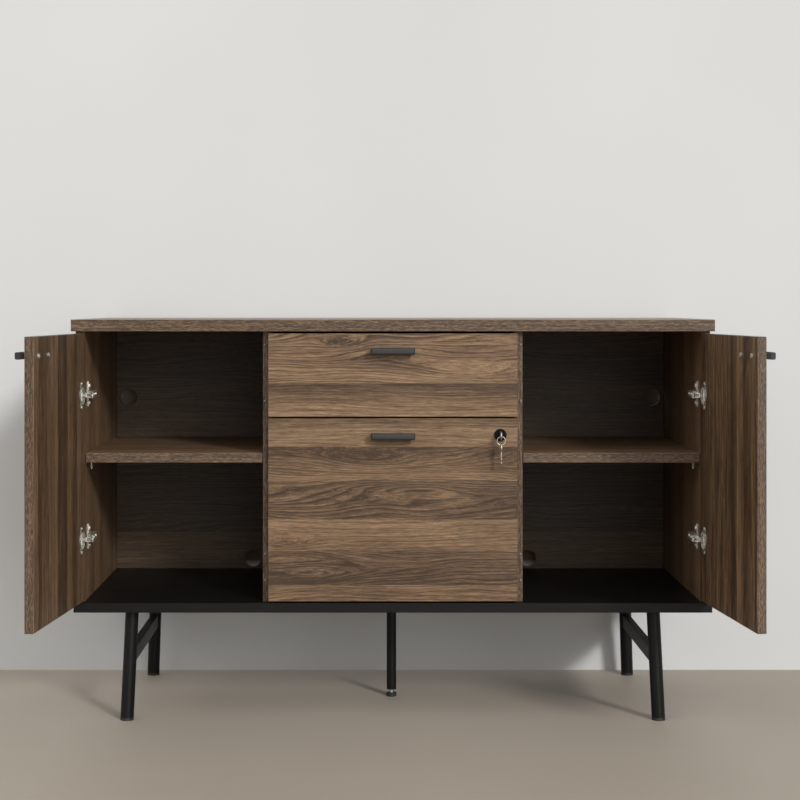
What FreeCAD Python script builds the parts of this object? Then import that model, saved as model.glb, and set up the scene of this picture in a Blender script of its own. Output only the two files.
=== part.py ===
"""Office credenza: two hinged doors, a box drawer and a locking file drawer on steel legs.

Millimetres.  +X is the credenza's right, its fronts face -Y and +Z is up.  The origin is on the
floor under the centre leg.  The doors are built closed, in the hinge's own plan (x from the side
panel's outer face, y from its front edge), and their linkage then carries them to the open pose.
"""
import FreeCAD, Part
import math
import os

V = FreeCAD.Vector

# ---- Driving dimensions ----------------------------------------------------------------------
# carcass
WIDTH = 1200.0
DEPTH = 470.0
HEIGHT = 750.0
TOP_THICK = 22.0
TOP_OVERHANG = 6.0
BASE_THICK = 18.0
BASE_INSET = 5.0
LEG_HEIGHT = 204.0
PANEL_THICK = 18.0
BACK_THICK = 16.0
CENTER_BAY = 450.0
EASE = 0.6

# fronts
FRONT_THICK = 16.0
BUMPER_GAP = 2.0
FRONT_GAP = 3.0
GAP_ABOVE_FRONTS = 4.0
DOOR_EDGE_INSET = 1.0
TOP_FRONT_HEIGHT = 155.0

# cable holes in the back panel
CABLE_HOLE_DIA = 36.0
UPPER_HOLE_FROM_SIDE = 25.0
UPPER_HOLE_DROP = 145.0
LOWER_HOLE_FROM_DIVIDER = 47.0
LOWER_HOLE_RISE = 21.0

# shelves and their pins
SHELF_THICK = 18.0
SHELF_ABOVE_MIDDLE = 7.0
SHELF_SIDE_GAP = 1.0
SHELF_SETBACK = 1.0
PIN_SETBACK = 80.0
PIN_DIA = 5.0
PIN_HOLE_DEPTH = 10.0
PIN_HOLE_PITCH = 64.0
PIN_END_GAP = 1.0
PIN_DROP = 8.0
PIN_STOP_HEIGHT = 18.0
PIN_PAD_LENGTH = 11.0
PIN_PAD_WIDTH = 10.0
PIN_PAD_THICK = 2.0

# legs
LEG_DIA = 25.0
LEG_WALL = 1.5
LEG_INSET_X = 105.0
LEG_INSET_Y = 37.0
LEG_SPLAY_X = 8.0
LEG_SPLAY_Y = 15.0
LEG_PLATE_SIZE = 52.0
LEG_PLATE_THICK = 3.0
LEG_PLATE_RECESS = 5.2
LEG_PLATE_GAP = 0.5
LEG_SCREW_LENGTH = 10.0
LEG_SCREW_PITCH = 38.0
FOOT_CAP_HEIGHT = 5.0
FOOT_PLUG_HEIGHT = 14.0
STRETCHER_WIDTH = 15.0
STRETCHER_HEIGHT = 25.0
STRETCHER_DROP = 76.0
STRETCHER_WALL = 1.5

# centre leg and its screwed glide
CENTER_LEG_DIA = 19.0
CENTER_LEG_WALL = 1.5
GLIDE_PAD_DIA = 20.0
GLIDE_PAD_HEIGHT = 7.5
GLIDE_PAD_CHAMFER = 1.0
GLIDE_STEM_DIA = 8.0
GLIDE_STEM_LENGTH = 45.0
GLIDE_NECK = 6.5
INSERT_HEIGHT = 16.0

# handles
HANDLE_LENGTH = 82.0
HANDLE_HEIGHT = 12.5
HANDLE_PROJECTION = 23.5
HANDLE_LIP = 8.5
HANDLE_LIP_RADIUS = 4.0
HANDLE_FOOT_LENGTH = 70.0
HANDLE_FOOT_HEIGHT = 9.5
HANDLE_NECK_HEIGHT = 10.5
HANDLE_DROP = 33.0
HANDLE_FROM_FREE_EDGE = 62.0
HANDLE_SCREW_PITCH = 64.0

# machine screws through the fronts, and the shorter wood screws
SCREW_DIA = 4.0
SCREW_HEAD_DIA = 8.5
SCREW_HEAD_HEIGHT = 2.2
SCREW_RECESS_DIA = 3.4
SCREW_BITE = 9.0
SCREW_END_GAP = 1.0
WOOD_SCREW_LENGTH = 12.0

# concealed hinges, in the hinge's plan
HINGE_FROM_DOOR_END = 115.0
CUP_DIA = 35.0
CUP_DEPTH = 12.6
CUP_WALL = 0.8
CUP_EDGE_TAB = 5.0
CUP_RIM_DIA = 38.0
FLANGE_HEIGHT = 52.0
FLANGE_WIDTH = 13.0
FLANGE_OFFSET = 6.0
FLANGE_THICK = 1.0
FLANGE_SCREW_PITCH = 44.0
FLANGE_SCREW_HEAD_DIA = 6.5
CUP_PIVOT_FROM_EDGE = 9.0
CUP_PIVOT_DEPTH = 5.0
ARM_PIVOT = (23.5, -5.1)
INNER_PIVOT = (31.0, 2.0)
OUTER_LINK_BENDS = ((22.7, -10.8), (17.0, -12.3))
INNER_LINK_BENDS = ((24.95, -8.6), (16.4, -11.6))
INNER_LINK_LENGTH = 23.4
HOOK_WALL = 0.8
HOOK_MOUTH_ANGLE = 125.0
HOOK_MOUTH_START = -0.3
LINK_WIDTH = 2.6
LINK_EYE_DIA = 5.0
HINGE_PIN_DIA = 2.4
PIN_CLEARANCE = 0.15
HOOK_CLEARANCE = 0.62
OUTER_LINK_THICK = 4.0
INNER_LINK_THICK = 1.8
LINK_GAP = 0.4
CHEEK_THICK = 1.2
CHEEK_GAP = 0.6
ARM_LENGTH = 62.0
ARM_TOP = 31.0
ARM_FOOT_GAP = 1.0
NOSE_DIA = 5.2
NOSE_FACET = 0.7
ARM_SHOULDER_Y = 10.0
HINGE_PLATE_THICK = 2.5
HINGE_PLATE_FRONT = 20.0
WING_FRONT = 29.0
WING_WIDTH = 11.0
WING_HEIGHT = 50.0
PLATE_SCREW_PITCH = 32.0
PLATE_BODY_HEIGHT = 16.0
ARM_SCREW_DIA = 6.5

# door movement: each link's turn is a share of the door's
OPEN_ANGLE = 95.2
OUTER_LINK_SHARE = 0.373
INNER_LINK_SHARE = 0.213

# drawers
SLIDE_THICK = 12.7
SLIDE_HEIGHT = 45.6
SLIDE_METAL = 1.2
SLIDE_RACE = 3.8
SLIDE_GAP = 0.4
SLIDE_SETBACK = 3.0
SLIDE_REAR_GAP = 33.0
BOX_REAR_GAP = 38.0
BOX_WALL = 12.0
BOTTOM_THICK = 6.0
BOTTOM_GROOVE = 6.0
BOTTOM_RISE = 10.0
TOP_BOX_RISE = 21.0
TOP_BOX_DROP = 20.0
FILE_BOX_RISE = 11.0
FILE_BOX_DROP = 80.0
RAIL_HEIGHT = 12.0
RAIL_THICK = 3.0
RAIL_FRONT_GAP = 20.0
RAIL_SPACING = 290.0

# lock and keys
LOCK_FROM_EDGE = 32.5
LOCK_DROP = 31.0
LOCK_BEZEL_DIA = 23.0
LOCK_BEZEL_THICK = 2.0
LOCK_BARREL_DIA = 19.0
LOCK_TAIL = 8.0
LOCK_PLUG_DIA = 12.0
LOCK_PLUG_PROUD = 0.8
LOCK_TURN_GAP = 0.3
KEYWAY_WIDTH = 2.4
KEYWAY_HEIGHT = 8.4
KEYWAY_DEPTH = 25.0
CAM_LENGTH = 23.0
CAM_WIDTH = 12.0
CAM_THICK = 2.0
KEY_THICK = 1.8
KEY_BLADE_HEIGHT = 7.4
KEY_BLADE_LENGTH = 23.0
KEY_NECK = 11.5
KEY_BOW_DIA = 16.5
KEY_HOLE_DIA = 4.6
KEY_HOLE_MARGIN = 4.4
RING_DIA = 17.0
RING_WIRE_DIA = 1.6
RING_SEAT_GAP = 0.15
SPARE_KEY_LENGTH = 41.0
CUT_PITCH = 4.0
CUT_DEPTHS = (0.8, 1.6)
CUT_PROFILE = ((0.25, 0.0), (0.5, 1.0), (0.75, 1.0), (1.0, 0.0))

TINY = 1e-6

# ---- Planes that several pieces share ---------------------------------------------------------
FRONT_Y = -DEPTH / 2
REAR_Y = DEPTH / 2
FRONT_BACK_Y = FRONT_Y + FRONT_THICK
CARCASS_FRONT_Y = FRONT_BACK_Y + BUMPER_GAP
BACK_PANEL_Y = REAR_Y - BACK_THICK
TOP_Z = HEIGHT - TOP_THICK
BASE_TOP_Z = LEG_HEIGHT + BASE_THICK
BASE_HALF = WIDTH / 2 - BASE_INSET
SIDE_OUT = WIDTH / 2 - TOP_OVERHANG
SIDE_IN = SIDE_OUT - PANEL_THICK
DIVIDER_IN = CENTER_BAY / 2
DIVIDER_OUT = DIVIDER_IN + PANEL_THICK
SHELF_Z = (BASE_TOP_Z + TOP_Z) / 2 + SHELF_ABOVE_MIDDLE
LEG_TOP_X = BASE_HALF - LEG_INSET_X
LEG_TOP_Y = DEPTH / 2 - LEG_INSET_Y
UNDER_PLATE_Z = LEG_HEIGHT + LEG_PLATE_RECESS - LEG_PLATE_THICK
STRETCHER_Z = LEG_HEIGHT - STRETCHER_DROP - STRETCHER_HEIGHT
SPLIT_X = (DIVIDER_IN + DIVIDER_OUT) / 2
DRAWER_FRONT_HALF = SPLIT_X - FRONT_GAP / 2
DOOR_FREE_X = SPLIT_X + FRONT_GAP / 2
FRONTS_Z0 = BASE_TOP_Z + FRONT_GAP
FRONTS_Z1 = TOP_Z - GAP_ABOVE_FRONTS
TOP_FRONT_Z0 = FRONTS_Z1 - TOP_FRONT_HEIGHT
FILE_FRONT_Z1 = TOP_FRONT_Z0 - FRONT_GAP
TOP_HANDLE_Z = FRONTS_Z1 - HANDLE_DROP
FILE_HANDLE_Z = FILE_FRONT_Z1 - HANDLE_DROP
LOCK_X = DRAWER_FRONT_HALF - LOCK_FROM_EDGE
LOCK_Z = FILE_FRONT_Z1 - LOCK_DROP
HINGE_Z = (FRONTS_Z1 - HINGE_FROM_DOOR_END, FRONTS_Z0 + HINGE_FROM_DOOR_END)
BOX_HALF = DIVIDER_IN - SLIDE_THICK
BOX_BACK_Y = BACK_PANEL_Y - BOX_REAR_GAP
TOP_BOX_Z = TOP_FRONT_Z0 + TOP_BOX_RISE
TOP_BOX_HEIGHT = TOP_FRONT_HEIGHT - TOP_BOX_RISE - TOP_BOX_DROP
FILE_BOX_Z = FRONTS_Z0 + FILE_BOX_RISE
FILE_BOX_HEIGHT = FILE_FRONT_Z1 - FILE_BOX_DROP - FILE_BOX_Z

SAVED = {}


# ---- Small helpers ----------------------------------------------------------------------------
def block(x0, x1, y0, y1, z0, z1):
    """Box between two corners."""
    return Part.makeBox(x1 - x0, y1 - y0, z1 - z0, V(x0, y0, z0))


def board(x0, x1, y0, y1, z0, z1):
    """Laminated board with its arrises eased."""
    raw = block(x0, x1, y0, y1, z0, z1)
    return raw.makeChamfer(EASE, raw.Edges)


def rod(dia, start, end):
    """Round bar between two points."""
    axis = V(*end) - V(*start)
    return Part.makeCylinder(dia / 2, axis.Length, V(*start), axis)


def prism(points, z0, z1):
    """Closed plan outline raised from z0 to z1."""
    loop = [V(x, y, z0) for x, y in points]
    return Part.Face(Part.makePolygon(loop + loop[:1])).extrude(V(0, 0, z1 - z0))


def strip(points, width, z0, z1):
    """Round-ended bar of one width that follows points in plan."""
    path = Part.makePolygon([V(x, y, z0) for x, y in points])
    outline = path.makeOffset2D(width / 2, 0, False, False)
    return Part.Face(outline).extrude(V(0, 0, z1 - z0))


def joined(first, *others):
    """One solid out of overlapping ones, without seams."""
    return first.fuse(list(others)).removeSplitter()


def mirrored(shape):
    """The same piece on the credenza's other side."""
    return shape.mirror(V(0, 0, 0), V(1, 0, 0))


def both_sides(shape):
    return [shape, mirrored(shape)]


def save(name, *shapes):
    """Write one sub-part, whose separate pieces stay separate solids."""
    solids = [solid for shape in shapes for solid in shape.Solids]
    piece = solids[0] if len(solids) == 1 else Part.makeCompound(solids)
    piece.exportStep("parts/" + name + ".step")
    SAVED[name] = piece


def save_pair(name, *shapes):
    """Write the left-hand sub-part and its mirror image."""
    save(name + "_left", *shapes)
    save(name + "_right", *[mirrored(shape) for shape in shapes])


# ---- Screws -----------------------------------------------------------------------------------
def screw(seat, direction, length):
    """Pan-head screw whose head rests at seat and whose shank runs along direction."""
    way = V(*direction)
    seat_point = V(*seat)
    top = seat_point - way * SCREW_HEAD_HEIGHT
    head = Part.makeCylinder(SCREW_HEAD_DIA / 2, SCREW_HEAD_HEIGHT, top, way)
    shank = Part.makeCylinder(SCREW_DIA / 2, length, seat_point, way)
    recess = Part.makeCylinder(SCREW_RECESS_DIA / 2, SCREW_HEAD_HEIGHT / 2, top, way)
    return joined(head, shank).cut(recess)


def hole(seat, direction, length, dia=SCREW_DIA):
    """Drilling for a screw's shank."""
    return Part.makeCylinder(dia / 2, length, V(*seat), V(*direction))


# ---- Carcass ----------------------------------------------------------------------------------
def pin_points(panel_x):
    """Front and rear places of the shelf pins on a panel face."""
    rear = BACK_PANEL_Y - PIN_SETBACK
    front = CARCASS_FRONT_Y + PIN_SETBACK
    return [(panel_x, front), (panel_x, rear)]


def pin_z():
    """Height of the shelf pins' axis, below the shelf that rests on their pads."""
    return SHELF_Z - PIN_DROP


def pin_drillings(panel_x, inward):
    """Three holes in each of two rows, drilled into the panel."""
    holes = []
    for x, y in pin_points(panel_x):
        for step in (-1, 0, 1):
            z = pin_z() + step * PIN_HOLE_PITCH
            holes.append(hole((x, y, z), (-inward, 0, 0), PIN_HOLE_DEPTH, PIN_DIA))
    return holes


def shelf_pin(x, y, inward):
    """Steel angle with a flat pad under the shelf and a pin behind its leaf on the panel."""
    z = pin_z()
    shank = rod(PIN_DIA, (x - inward * (PIN_HOLE_DEPTH - PIN_END_GAP), y, z),
                (x + inward * PIN_PAD_THICK, y, z))
    x0, x1 = sorted((x, x + inward * PIN_PAD_LENGTH))
    s0, s1 = sorted((x, x + inward * PIN_PAD_THICK))
    half = PIN_PAD_WIDTH / 2
    pad = block(x0, x1, y - half, y + half, SHELF_Z - PIN_PAD_THICK, SHELF_Z)
    stop = block(s0, s1, y - half, y + half, SHELF_Z - PIN_STOP_HEIGHT, SHELF_Z)
    return joined(pad, stop, shank)


def carcass():
    save("top_panel", board(-WIDTH / 2, WIDTH / 2, FRONT_Y, REAR_Y, TOP_Z, HEIGHT))

    base = board(-BASE_HALF, BASE_HALF, FRONT_Y, REAR_Y, LEG_HEIGHT, BASE_TOP_Z)
    save("base_panel", base.cut(base_drillings()))

    side = board(-SIDE_OUT, -SIDE_IN, CARCASS_FRONT_Y, REAR_Y, BASE_TOP_Z, TOP_Z)
    save_pair("side_panel", side.cut(pin_drillings(-SIDE_IN, 1) + plate_drillings()))

    divider = board(-DIVIDER_OUT, -DIVIDER_IN, CARCASS_FRONT_Y, BACK_PANEL_Y, BASE_TOP_Z, TOP_Z)
    save_pair("divider", divider.cut(pin_drillings(-DIVIDER_OUT, -1)))

    back = board(-SIDE_IN, SIDE_IN, BACK_PANEL_Y, REAR_Y, BASE_TOP_Z, TOP_Z)
    save("back_panel", back.cut(cable_holes()))


def cable_holes():
    """One hole high in each outer corner of the back, and one low beside each divider."""
    upper = (-SIDE_IN + UPPER_HOLE_FROM_SIDE, BACK_PANEL_Y, TOP_Z - UPPER_HOLE_DROP)
    lower = (-DIVIDER_OUT - LOWER_HOLE_FROM_DIVIDER, BACK_PANEL_Y, BASE_TOP_Z + LOWER_HOLE_RISE)
    holes = []
    for place in (upper, lower):
        holes += both_sides(hole(place, (0, 1, 0), BACK_THICK, CABLE_HOLE_DIA))
    return holes


def shelves():
    x0 = -SIDE_IN + SHELF_SIDE_GAP
    x1 = -DIVIDER_OUT - SHELF_SIDE_GAP
    shelf = board(x0, x1, CARCASS_FRONT_Y + SHELF_SETBACK, BACK_PANEL_Y - SHELF_SETBACK,
                  SHELF_Z, SHELF_Z + SHELF_THICK)
    save_pair("shelf", shelf)
    pins = []
    for panel_x, inward in ((-SIDE_IN, 1), (-DIVIDER_OUT, -1)):
        for x, y in pin_points(panel_x):
            pins += both_sides(shelf_pin(x, y, inward))
    save("shelf_pins", *pins)


# ---- Legs -------------------------------------------------------------------------------------
def leg_point(z):
    """Axis of the front left leg at a height, under its plate and splayed to the floor."""
    top = UNDER_PLATE_Z
    drop = (top - z) / top
    return V(-LEG_TOP_X - LEG_SPLAY_X * drop, -LEG_TOP_Y - LEG_SPLAY_Y * drop, z)


def leg_bar(dia, z0, z1):
    """Length of a leg between two level cuts."""
    low = leg_point(z0 - LEG_DIA)
    high = leg_point(z1 + LEG_DIA)
    bar = Part.makeCylinder(dia / 2, (high - low).Length, low, high - low)
    room = WIDTH
    return bar.common(block(-room, room, -room, room, z0, z1))


def four_corners(shape):
    """Front left, front right, rear left and rear right copies."""
    rear = shape.mirror(V(0, 0, 0), V(0, 1, 0))
    return [shape, mirrored(shape), rear, mirrored(rear)]


def leg_screw_points():
    """Screw places of the front left plate, and of the centre plate."""
    half = LEG_SCREW_PITCH / 2
    square = [(-half, -half), (half, -half), (-half, half), (half, half)]
    corner = [(-LEG_TOP_X + x, -LEG_TOP_Y + y) for x, y in square]
    return corner, square


def plate_pocket(x, y):
    """Pocket that lets a leg plate and its screw heads into the base."""
    half = LEG_PLATE_SIZE / 2 + LEG_PLATE_GAP
    return block(x - half, x + half, y - half, y + half, LEG_HEIGHT, LEG_HEIGHT + LEG_PLATE_RECESS)


def base_drillings():
    """Pockets of the leg plates and drillings of their screws."""
    corner, square = leg_screw_points()
    seat = LEG_HEIGHT + LEG_PLATE_RECESS
    cuts = four_corners(plate_pocket(-LEG_TOP_X, -LEG_TOP_Y)) + [plate_pocket(0, 0)]
    for x, y in corner:
        cuts += four_corners(hole((x, y, seat), (0, 0, 1), LEG_SCREW_LENGTH))
    for x, y in square:
        cuts.append(hole((x, y, seat), (0, 0, 1), LEG_SCREW_LENGTH))
    return cuts


def plate(x, y):
    """Leg plate in its pocket with its four screw holes, centred on x, y."""
    half = LEG_PLATE_SIZE / 2
    flat = block(x - half, x + half, y - half, y + half, UNDER_PLATE_Z, UNDER_PLATE_Z + LEG_PLATE_THICK)
    pitch = LEG_SCREW_PITCH / 2
    holes = [hole((x + i * pitch, y + j * pitch, UNDER_PLATE_Z), (0, 0, 1), LEG_PLATE_THICK)
             for i in (-1, 1) for j in (-1, 1)]
    return flat.cut(holes)


def legs():
    tube = leg_bar(LEG_DIA, FOOT_CAP_HEIGHT, UNDER_PLATE_Z)
    tube = tube.cut(leg_bar(LEG_DIA - 2 * LEG_WALL, FOOT_CAP_HEIGHT, UNDER_PLATE_Z))
    names = ("leg_front_left", "leg_front_right", "leg_rear_left", "leg_rear_right")
    for name, leg in zip(names, four_corners(tube)):
        save(name, leg)

    plug = leg_bar(LEG_DIA - 2 * LEG_WALL, FOOT_CAP_HEIGHT, FOOT_CAP_HEIGHT + FOOT_PLUG_HEIGHT)
    cap = joined(leg_bar(LEG_DIA, 0, FOOT_CAP_HEIGHT), plug)
    save("leg_foot_caps", *four_corners(cap))

    save("leg_plates", *four_corners(plate(-LEG_TOP_X, -LEG_TOP_Y)), plate(0, 0))

    corner, square = leg_screw_points()
    length = LEG_PLATE_THICK + LEG_SCREW_LENGTH
    screws = []
    for x, y in corner:
        screws += four_corners(screw((x, y, UNDER_PLATE_Z), (0, 0, 1), length))
    for x, y in square:
        screws.append(screw((x, y, UNDER_PLATE_Z), (0, 0, 1), length))
    save("leg_screws", *screws)


def stretchers():
    """Rectangular tube from front leg to rear leg, coped to both."""
    middle = leg_point(STRETCHER_Z + STRETCHER_HEIGHT / 2)
    half = STRETCHER_WIDTH / 2
    top = STRETCHER_Z + STRETCHER_HEIGHT
    outer = block(middle.x - half, middle.x + half, middle.y, -middle.y, STRETCHER_Z, top)
    wall = STRETCHER_WALL
    bore = block(middle.x - half + wall, middle.x + half - wall, middle.y, -middle.y,
                 STRETCHER_Z + wall, top - wall)
    front = leg_bar(LEG_DIA, STRETCHER_Z - LEG_DIA, top + LEG_DIA)
    save_pair("stretcher", outer.cut([bore, front, front.mirror(V(0, 0, 0), V(0, 1, 0))]))


def center_leg():
    """Straight tube with a threaded insert, and the glide that screws into it."""
    tube_z = GLIDE_PAD_HEIGHT + GLIDE_NECK
    bore_dia = CENTER_LEG_DIA - 2 * CENTER_LEG_WALL
    tube = rod(CENTER_LEG_DIA, (0, 0, tube_z), (0, 0, UNDER_PLATE_Z))
    tube = tube.cut(rod(bore_dia, (0, 0, tube_z), (0, 0, UNDER_PLATE_Z)))
    insert = rod(bore_dia, (0, 0, tube_z), (0, 0, tube_z + INSERT_HEIGHT))
    thread_bore = GLIDE_STEM_DIA + 2 * PIN_CLEARANCE
    insert = insert.cut(rod(thread_bore, (0, 0, tube_z), (0, 0, tube_z + INSERT_HEIGHT)))
    save("center_leg", tube, insert)

    pad = rod(GLIDE_PAD_DIA, (0, 0, 0), (0, 0, GLIDE_PAD_HEIGHT))
    rims = [edge for edge in pad.Edges if len(edge.Vertexes) == 1]
    save("glide_pad", pad.makeChamfer(GLIDE_PAD_CHAMFER, rims))
    stem = rod(GLIDE_STEM_DIA, (0, 0, GLIDE_PAD_HEIGHT), (0, 0, GLIDE_PAD_HEIGHT + GLIDE_STEM_LENGTH))
    save("glide_stem", stem)


# ---- Handles and fronts -----------------------------------------------------------------------
def rectangle(x, z, width, height, y):
    """Upright rectangle centred on x, z."""
    signs = ((-1, -1), (1, -1), (1, 1), (-1, 1))
    corners = [V(x + i * width / 2, y, z + j * height / 2) for i, j in signs]
    return Part.makePolygon(corners + corners[:1])


def handle_screw_x(x):
    return (x - HANDLE_SCREW_PITCH / 2, x + HANDLE_SCREW_PITCH / 2)


def handle(x, z, face_y):
    """Cast pull that flares from its foot on the front to a rounded lip."""
    neck_y = face_y - HANDLE_PROJECTION + HANDLE_LIP
    foot = rectangle(x, z, HANDLE_FOOT_LENGTH, HANDLE_FOOT_HEIGHT, face_y)
    neck = rectangle(x, z, HANDLE_LENGTH, HANDLE_NECK_HEIGHT, neck_y)
    web = Part.makeLoft([foot, neck], True, True)
    half = HANDLE_LENGTH / 2
    tall = HANDLE_HEIGHT / 2
    lip = block(x - half, x + half, neck_y - HANDLE_LIP, neck_y, z - tall, z + tall)
    front = [edge for edge in lip.Edges if max(v.Y for v in edge.Vertexes) < neck_y - HANDLE_LIP / 2]
    lip = lip.makeFillet(HANDLE_LIP_RADIUS, front)
    drillings = [hole((sx, face_y, z), (0, -1, 0), SCREW_BITE) for sx in handle_screw_x(x)]
    return joined(web, lip).cut(drillings)


def front_drillings(x, z, face_y, length):
    """Holes through a front for its handle's screws."""
    return [hole((sx, face_y, z), (0, 1, 0), length) for sx in handle_screw_x(x)]


def handle_screws(x, z, face_y, through):
    """Screws whose heads sit behind the wood and that bite into the handle."""
    length = through + SCREW_BITE - SCREW_END_GAP
    return [screw((sx, face_y + through, z), (0, -1, 0), length) for sx in handle_screw_x(x)]


# ---- Concealed hinges and doors, closed, in the hinge's plan ----------------------------------
def turned(point, about, angle):
    """Plan point turned anticlockwise about another, in degrees."""
    c = math.cos(math.radians(angle))
    s = math.sin(math.radians(angle))
    dx = point[0] - about[0]
    dy = point[1] - about[1]
    return (about[0] + c * dx - s * dy, about[1] + s * dx + c * dy)


CUP_PIVOT = (DOOR_EDGE_INSET + CUP_PIVOT_FROM_EDGE, -BUMPER_GAP - CUP_PIVOT_DEPTH)
CUP_CENTER = (DOOR_EDGE_INSET + CUP_EDGE_TAB + CUP_DIA / 2, -BUMPER_GAP)
DOOR_WIDTH = SIDE_OUT - DOOR_EDGE_INSET - DOOR_FREE_X
OPEN_CUP_PIVOT = turned(CUP_PIVOT, ARM_PIVOT, OUTER_LINK_SHARE * OPEN_ANGLE)


def to_carcass(shape):
    """From the hinge's plan to the left side panel."""
    moved = shape.copy()
    moved.translate(V(-SIDE_OUT, CARCASS_FRONT_Y, 0))
    return moved


def turned_shape(shape, about, angle):
    moved = shape.copy()
    moved.rotate(V(about[0], about[1], 0), V(0, 0, 1), angle)
    return moved


def on_open_door(shape):
    """A piece of the closed door, carried by the linkage to the open pose."""
    moved = turned_shape(shape, CUP_PIVOT, -OPEN_ANGLE)
    moved.translate(V(OPEN_CUP_PIVOT[0] - CUP_PIVOT[0], OPEN_CUP_PIVOT[1] - CUP_PIVOT[1], 0))
    return to_carcass(moved)


def vertical_rod(dia, point, z0, z1):
    return rod(dia, (point[0], point[1], z0), (point[0], point[1], z1))


def link_layers(z):
    """Heights of the outer link and of the inner link's two plates, from the arm's middle out."""
    outer = OUTER_LINK_THICK / 2
    inner = outer + LINK_GAP
    return (z - outer, z + outer), ((z + inner, z + inner + INNER_LINK_THICK),
                                    (z - inner - INNER_LINK_THICK, z - inner))


CHEEK_IN = OUTER_LINK_THICK / 2 + LINK_GAP + INNER_LINK_THICK + CHEEK_GAP
CHEEK_OUT = CHEEK_IN + CHEEK_THICK


def outer_link(z):
    """Bent link from the arm's nose round the door's edge into the cup."""
    low, high = link_layers(z)[0]
    bar = strip((ARM_PIVOT,) + OUTER_LINK_BENDS + (CUP_PIVOT,), LINK_WIDTH, low, high)
    eyes = [vertical_rod(LINK_EYE_DIA, point, low, high) for point in (ARM_PIVOT, CUP_PIVOT)]
    bores = [vertical_rod(HINGE_PIN_DIA + 2 * PIN_CLEARANCE, point, low, high)
             for point in (ARM_PIVOT, CUP_PIVOT)]
    return joined(bar, *eyes).cut(bores)


def bearing(start, end):
    """Plan direction from one point to another, in radians."""
    return math.atan2(end[1] - start[1], end[0] - start[0])


def ahead_of(point, angle, ahead, aside=0.0):
    """Plan point ahead of another along a direction, and aside to its left."""
    c = math.cos(angle)
    s = math.sin(angle)
    return (point[0] + c * ahead - s * aside, point[1] + s * ahead + c * aside)


def bar_outline(point, angle, back, front, half):
    """Plan rectangle about a point, along a direction."""
    return [ahead_of(point, angle, -back, -half), ahead_of(point, angle, front, -half),
            ahead_of(point, angle, front, half), ahead_of(point, angle, -back, half)]


def inner_link(z):
    """Pair of thin bent plates either side of the outer link, hooked under the cup's pin."""
    end = ahead_of(INNER_PIVOT, bearing(INNER_PIVOT, CUP_PIVOT), INNER_LINK_LENGTH)
    inside = HINGE_PIN_DIA / 2 + HOOK_CLEARANCE
    outside = inside + HOOK_WALL
    opening = math.radians(HOOK_MOUTH_ANGLE)
    mouth = bar_outline(end, opening, -HOOK_MOUTH_START, 2 * outside, 2 * outside)
    plates = []
    for low, high in link_layers(z)[1]:
        bar = strip((INNER_PIVOT,) + INNER_LINK_BENDS + (end,), LINK_WIDTH, low, high)
        eyes = [vertical_rod(LINK_EYE_DIA, INNER_PIVOT, low, high),
                vertical_rod(2 * outside, end, low, high)]
        cuts = [vertical_rod(HINGE_PIN_DIA + 2 * PIN_CLEARANCE, INNER_PIVOT, low, high),
                vertical_rod(2 * inside, end, low, high), prism(mouth, low, high)]
        plates.append(joined(bar, *eyes).cut(cuts))
    return plates


def hinge_arm(z):
    """Channel-shaped arm: two cheeks that hold the pins, and a bridge over the plate."""
    foot = PANEL_THICK + HINGE_PLATE_THICK + ARM_FOOT_GAP
    nose = NOSE_DIA / 2
    facet = nose * NOSE_FACET
    outline = [(foot, ARM_LENGTH), (foot, INNER_PIVOT[1]), (ARM_PIVOT[0] - nose, ARM_PIVOT[1]),
               (ARM_PIVOT[0] + facet, ARM_PIVOT[1] - facet),
               (INNER_PIVOT[0] + facet, INNER_PIVOT[1] - facet),
               (INNER_PIVOT[0] + nose, INNER_PIVOT[1] + nose),
               (INNER_PIVOT[0] + nose, ARM_SHOULDER_Y),
               (ARM_TOP, HINGE_PLATE_FRONT), (ARM_TOP, ARM_LENGTH)]
    cheeks = []
    for low, high in ((z + CHEEK_IN, z + CHEEK_OUT), (z - CHEEK_OUT, z - CHEEK_IN)):
        cheek = joined(prism(outline, low, high), vertical_rod(NOSE_DIA, ARM_PIVOT, low, high),
                       vertical_rod(NOSE_DIA, INNER_PIVOT, low, high))
        cheeks.append(cheek)
    bridge = block(ARM_TOP - CHEEK_THICK, ARM_TOP, HINGE_PLATE_FRONT, ARM_LENGTH,
                   z - CHEEK_OUT, z + CHEEK_OUT)
    bores = [vertical_rod(HINGE_PIN_DIA, point, z - CHEEK_OUT, z + CHEEK_OUT)
             for point in (ARM_PIVOT, INNER_PIVOT)]
    return joined(bridge, *cheeks).cut(bores)


def arm_pins(z):
    return [vertical_rod(HINGE_PIN_DIA, point, z - CHEEK_OUT, z + CHEEK_OUT)
            for point in (ARM_PIVOT, INNER_PIVOT)]


def edges_along(shape, axis):
    """Straight edges of a block that run along one axis."""
    others = [name for name in "XYZ" if name != axis]
    return [edge for edge in shape.Edges
            if all(abs(getattr(edge.Vertexes[0], name) - getattr(edge.Vertexes[-1], name)) < TINY
                   for name in others)]


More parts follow.
